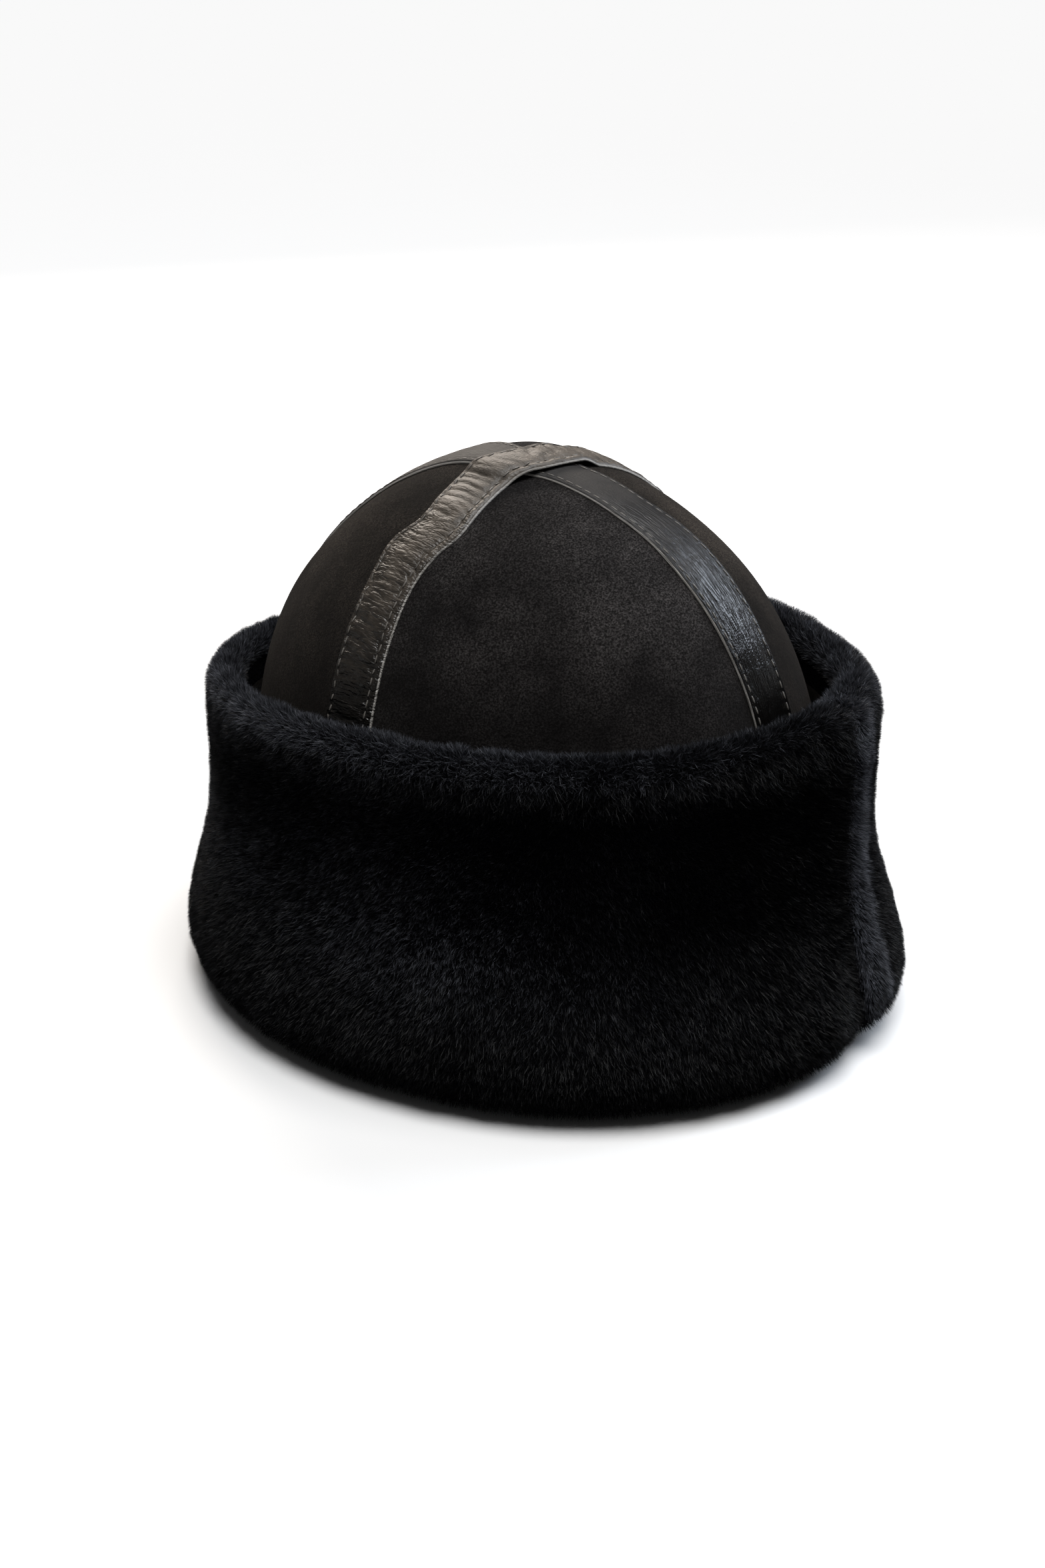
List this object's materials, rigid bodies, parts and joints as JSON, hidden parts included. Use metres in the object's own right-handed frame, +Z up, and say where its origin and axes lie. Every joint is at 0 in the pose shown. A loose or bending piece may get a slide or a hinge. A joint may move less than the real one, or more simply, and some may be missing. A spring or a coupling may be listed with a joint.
{
  "type": "sheepskin hat",
  "caption": "Domed panelled sheepskin cap with leather bands crossing over its seams and a deep turned-up fur cuff, slit at the back, worn to keep the head and ears warm.",
  "frame": {"origin": "on the ground, in the middle of the box around the hat as it stands on its cuff", "axes": "+Z up, +Y along the head towards the slit of the cuff, taken as the back, +X across the head towards the wearer's left"},
  "size_m": [0.2532, 0.2975, 0.2024],
  "materials": {
    "suede": "brown-black suede with a fine short nap, dull, softly mottled",
    "band_leather": "thin dark taupe nappa leather, creased, with a soft sheen and stitched edges",
    "fur": "short sheared black sheepskin pile with a soft bluish sheen"
  },
  "bodies": {
    "root": {"crown_panel_front_left": "suede", "crown_panel_front_right": "suede", "crown_panel_back_left": "suede", "crown_panel_back_right": "suede", "seam_band_over": "band_leather", "seam_band_under": "band_leather", "fur_cuff": "fur"}
  },
  "joints": []
}
